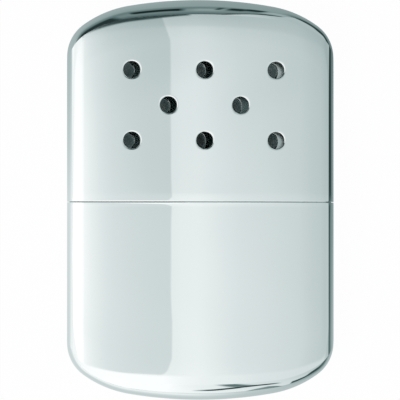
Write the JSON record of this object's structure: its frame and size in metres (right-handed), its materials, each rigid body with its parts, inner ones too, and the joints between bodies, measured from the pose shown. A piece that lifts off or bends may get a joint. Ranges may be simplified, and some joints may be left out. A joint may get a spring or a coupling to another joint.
{
  "type": "catalytic hand warmer",
  "caption": "Flat pocket hand warmer in chromed metal: a vented pull-off cap over a fuel tank, with a lift-off catalytic burner on its filler neck.",
  "frame": {"origin": "centre of the warmer's footprint as it lies on its back: half-way across its width and its length, on the surface that it rests on", "axes": "+Z out of the front face, +Y along the length towards the cap's closed end, +X to the right seen from the front"},
  "size_m": [0.0666, 0.099, 0.014],
  "materials": {
    "chromed_brass": "mirror-polished chrome plate on drawn brass",
    "nickelled_brass": "satin nickel plate on pressed brass",
    "stainless_sheet": "fine-rolled stainless sheet, pressed and pierced",
    "woven_wire": "plain-woven heat-resisting wire",
    "glass_fibre_mat": "needled glass fibre carrying the catalyst",
    "cotton": "bleached cotton wadding"
  },
  "bodies": {
    "tank": {"tank_shell": "chromed_brass", "collar": "chromed_brass", "tank_deck": "nickelled_brass", "filler_neck": "nickelled_brass", "neck_wick": "cotton", "cotton_wad_1": "cotton", "cotton_wad_2": "cotton", "cotton_wad_3": "cotton", "cotton_wad_4": "cotton", "cotton_wad_5": "cotton", "cotton_wad_6": "cotton"},
    "cap": {"cap_shell": "chromed_brass"},
    "burner": {"burner_skirt": "stainless_sheet", "burner_cage": "stainless_sheet", "gauze_front": "woven_wire", "gauze_back": "woven_wire", "catalyst_mat": "glass_fibre_mat"}
  },
  "joints": [
    {"name": "cap_pull", "type": "slide", "parent": "tank", "child": "cap", "axis": [0, 1, 0], "range_m": [0, 0.06]},
    {"name": "burner_pull", "type": "slide", "parent": "tank", "child": "burner", "axis": [0, 1, 0], "range_m": [0, 0.02]}
  ]
}
